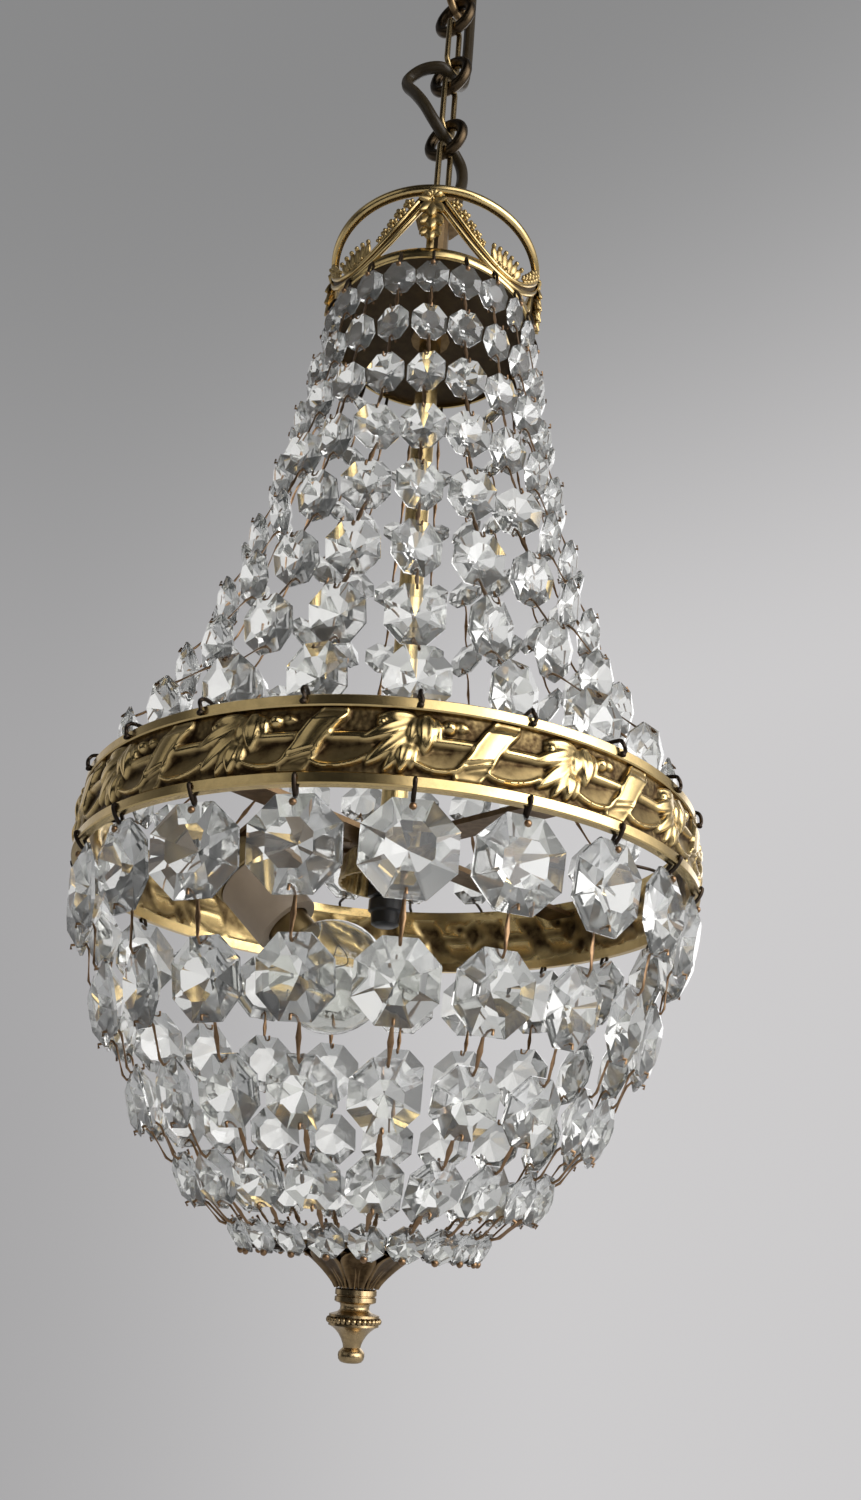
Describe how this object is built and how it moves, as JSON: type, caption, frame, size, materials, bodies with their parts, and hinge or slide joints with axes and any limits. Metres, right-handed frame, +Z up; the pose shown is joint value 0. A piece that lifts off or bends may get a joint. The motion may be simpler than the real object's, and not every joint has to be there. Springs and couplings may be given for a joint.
{
  "type": "basket chandelier",
  "caption": "Petite basket chandelier: brass crown and ring joined by graded crystal strands, a crystal basket and finial below, hung on a laced chain from a ceiling hook plate.",
  "frame": {"origin": "centre of the hook plate's upper face, where it meets the ceiling", "axes": "+Z up out of the ceiling face, -Y towards the picture's camera, +X to its right"},
  "size_m": [0.22, 0.22, 0.7023],
  "materials": {
    "brass": "worn gilt",
    "aged_brass": "aged, brown in the hollows",
    "dark_brass": "dark antique",
    "flex": "semi-gloss",
    "bulb_glass": "clear",
    "crystal": "cut and polished"
  },
  "bodies": {
    "ceiling": {"hook_plate": "aged_brass", "flex_cord": "flex"},
    "chain_ring_1": {"chain_ring_1": "dark_brass"},
    "chain_link_1": {"chain_link_1": "dark_brass"},
    "chain_ring_2": {"chain_ring_2": "dark_brass"},
    "chain_link_2": {"chain_link_2": "dark_brass"},
    "chain_ring_3": {"chain_ring_3": "dark_brass"},
    "chain_link_3": {"chain_link_3": "dark_brass"},
    "chandelier": {"stem": "brass", "crown_gallery": "brass", "ring_band": "brass", "spider": "brass", "hub_cup": "brass", "lampholder": "brass", "bulb": "bulb_glass", "base_plate": "aged_brass", "leaf_cup": "aged_brass", "finial": "brass", "tent_strand_01": "crystal", "tent_strand_02": "crystal", "tent_strand_03": "crystal", "tent_strand_04": "crystal", "tent_strand_05": "crystal", "tent_strand_06": "crystal", "tent_strand_07": "crystal", "tent_strand_08": "crystal", "tent_strand_09": "crystal", "tent_strand_10": "crystal", "tent_strand_11": "crystal", "tent_strand_12": "crystal", "tent_strand_13": "crystal", "tent_strand_14": "crystal", "tent_strand_15": "crystal", "tent_strand_16": "crystal", "tent_strand_17": "crystal", "tent_strand_18": "crystal", "tent_strand_19": "crystal", "tent_strand_20": "crystal", "tent_strand_21": "crystal", "basket_strand_01": "crystal", "basket_strand_02": "crystal", "basket_strand_03": "crystal", "basket_strand_04": "crystal", "basket_strand_05": "crystal", "basket_strand_06": "crystal", "basket_strand_07": "crystal", "basket_strand_08": "crystal", "basket_strand_09": "crystal", "basket_strand_10": "crystal", "basket_strand_11": "crystal", "basket_strand_12": "crystal", "basket_strand_13": "crystal", "basket_strand_14": "crystal", "basket_strand_15": "crystal", "basket_strand_16": "crystal", "basket_strand_17": "crystal", "basket_strand_18": "crystal", "basket_strand_19": "crystal", "basket_strand_20": "crystal", "basket_strand_21": "crystal"}
  },
  "joints": [
    {"name": "chain_ring_1_swing", "type": "hinge", "parent": "ceiling", "child": "chain_ring_1", "pos_m": [0, 0, -0.046], "axis": [0.5736, 0.8192, 0], "range_deg": [-15, 15], "deforming": ["flex_cord"]},
    {"name": "chain_link_1_swing", "type": "hinge", "parent": "chain_ring_1", "child": "chain_link_1", "pos_m": [0, 0, -0.0601], "axis": [0.8192, -0.5736, 0], "range_deg": [-15, 15], "deforming": ["flex_cord"]},
    {"name": "chain_ring_2_swing", "type": "hinge", "parent": "chain_link_1", "child": "chain_ring_2", "pos_m": [0, 0, -0.0954], "axis": [0.5736, 0.8192, 0], "range_deg": [-15, 15], "deforming": ["flex_cord"]},
    {"name": "chain_link_2_swing", "type": "hinge", "parent": "chain_ring_2", "child": "chain_link_2", "pos_m": [0, 0, -0.1101], "axis": [0.8192, -0.5736, 0], "range_deg": [-15, 15], "deforming": ["flex_cord"]},
    {"name": "chain_ring_3_swing", "type": "hinge", "parent": "chain_link_2", "child": "chain_ring_3", "pos_m": [0, 0, -0.1454], "axis": [0.5736, 0.8192, 0], "range_deg": [-15, 15], "deforming": ["flex_cord"]},
    {"name": "chain_link_3_swing", "type": "hinge", "parent": "chain_ring_3", "child": "chain_link_3", "pos_m": [0, 0, -0.1601], "axis": [0.8192, -0.5736, 0], "range_deg": [-15, 15], "deforming": ["flex_cord"]},
    {"name": "chandelier_swing", "type": "hinge", "parent": "chain_link_3", "child": "chandelier", "pos_m": [0, 0, -0.1954], "axis": [0.5736, 0.8192, 0], "range_deg": [-15, 15], "deforming": ["flex_cord"]}
  ]
}
